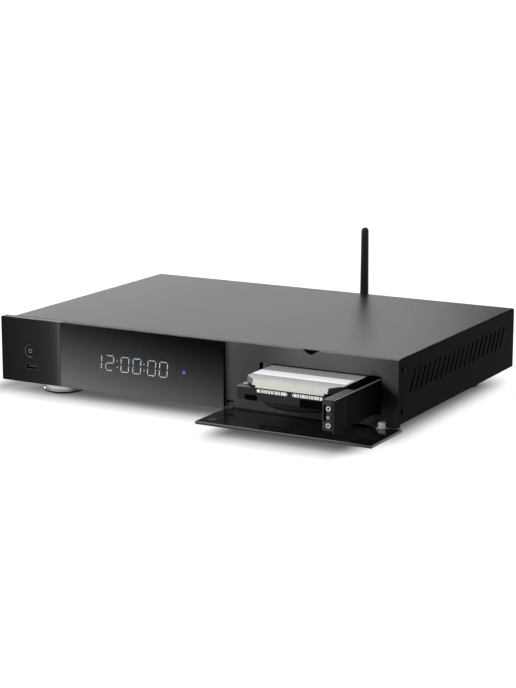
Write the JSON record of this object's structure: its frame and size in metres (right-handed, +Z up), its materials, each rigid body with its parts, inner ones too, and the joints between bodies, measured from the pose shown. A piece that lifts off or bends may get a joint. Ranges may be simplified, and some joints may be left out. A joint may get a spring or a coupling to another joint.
{
  "type": "media player",
  "caption": "Slim full-width black media player with a drop-down flap, a pull-out hard drive carrier, a clock display and a folding antenna.",
  "frame": {"origin": "on the ground under the middle of the box round the player as it stands, flap open, carrier out, antenna up", "axes": "+X to the viewer's right across the front, +Y to the back, +Z up"},
  "size_m": [0.43, 0.3872, 0.1436],
  "materials": {
    "black_sheet": "fine matte black paint on sheet steel",
    "plated_sheet": "zinc-plated sheet",
    "matte_moulding": "fine matte black moulding",
    "charcoal_moulding": "matte charcoal moulding",
    "smoked_acrylic": "smoked clear acrylic, glossy",
    "gloss_black": "high gloss black",
    "bright_metal": "bright nickel",
    "lid_metal": "satin pressed aluminium",
    "cast_black": "black coated casting",
    "board_green": "solder-masked board",
    "black_rubber": "matte rubber",
    "display_glass": "dark display glass",
    "fin_aluminium": "extruded aluminium",
    "socket_black": "black connector moulding"
  },
  "bodies": {
    "case": {"base_pan": "plated_sheet", "front_plate": "plated_sheet", "top_cover": "black_sheet", "rear_panel": "black_sheet", "end_block": "matte_moulding", "power_ring": "bright_metal", "front_board": "board_green", "tact_switch": "socket_black", "front_usb_port": "bright_metal", "display_window": "smoked_acrylic", "display_frame": "matte_moulding", "display_module": "display_glass", "bay_fascia": "charcoal_moulding", "flap_catch": "socket_black", "hinge_pin_left": "bright_metal", "hinge_pin_right": "bright_metal", "drive_cage": "plated_sheet", "guide_left": "socket_black", "guide_right": "socket_black", "earth_spring": "bright_metal", "backplane_board": "board_green", "sata_socket": "socket_black", "main_board": "board_green", "heat_sink": "fin_aluminium", "power_board": "board_green", "hdmi_port": "bright_metal", "lan_port": "bright_metal", "rear_usb_ports": "bright_metal", "rca_jacks": "socket_black", "ac_inlet": "socket_black", "rocker_frame": "socket_black", "antenna_connector": "bright_metal", "foot_front_left": "bright_metal", "foot_front_right": "bright_metal", "foot_back_left": "bright_metal", "foot_back_right": "bright_metal", "pad_front_left": "black_rubber", "pad_front_right": "black_rubber", "pad_back_left": "black_rubber", "pad_back_right": "black_rubber"},
    "power_button": {"power_button": "matte_moulding"},
    "flap": {"flap": "gloss_black", "flap_magnet": "bright_metal", "hinge_arm_left": "bright_metal", "hinge_arm_right": "bright_metal"},
    "carrier": {"carrier_rail": "matte_moulding", "latch_housing": "matte_moulding", "housing_screw_lower": "bright_metal", "housing_screw_upper": "bright_metal", "carrier_tray": "plated_sheet", "drive_base": "cast_black", "drive_lid": "lid_metal", "drive_board": "board_green", "drive_plug": "socket_black"},
    "latch_button": {"latch_button": "bright_metal"},
    "power_rocker": {"power_rocker": "socket_black"},
    "antenna_knuckle": {"antenna_knuckle": "matte_moulding"},
    "antenna_mast": {"antenna_mast": "black_rubber"}
  },
  "joints": [
    {"name": "flap_hinge", "type": "hinge", "parent": "case", "child": "flap", "pos_m": [0.1257, -0.10048, 0.0161], "axis": [-1, 0, 0], "range_deg": [0, 13]},
    {"name": "carrier_slide", "type": "slide", "parent": "case", "child": "carrier", "axis": [0, 1, 0], "range_m": [-0.03, 0.0903]},
    {"name": "latch_press", "type": "slide", "parent": "carrier", "child": "latch_button", "axis": [0, 1, 0], "range_m": [0, 0.0012], "stiffness_N_per_m": 400, "springref_m": -0.001},
    {"name": "power_press", "type": "slide", "parent": "case", "child": "power_button", "axis": [0, 1, 0], "range_m": [0, 0.0008], "stiffness_N_per_m": 600, "springref_m": -0.0008},
    {"name": "rocker_tip", "type": "hinge", "parent": "case", "child": "power_rocker", "pos_m": [0.153, 0.17033, 0.0468], "axis": [-1, 0, 0], "range_deg": [0, 14]},
    {"name": "antenna_swivel", "type": "hinge", "parent": "case", "child": "antenna_knuckle", "pos_m": [0.039, 0.18802, 0.0408], "axis": [0, 1, 0], "range_deg": [-90, 90]},
    {"name": "antenna_fold", "type": "hinge", "parent": "antenna_knuckle", "child": "antenna_mast", "pos_m": [0.039, 0.18802, 0.0408], "axis": [-1, 0, 0], "range_deg": [0, 90]}
  ]
}
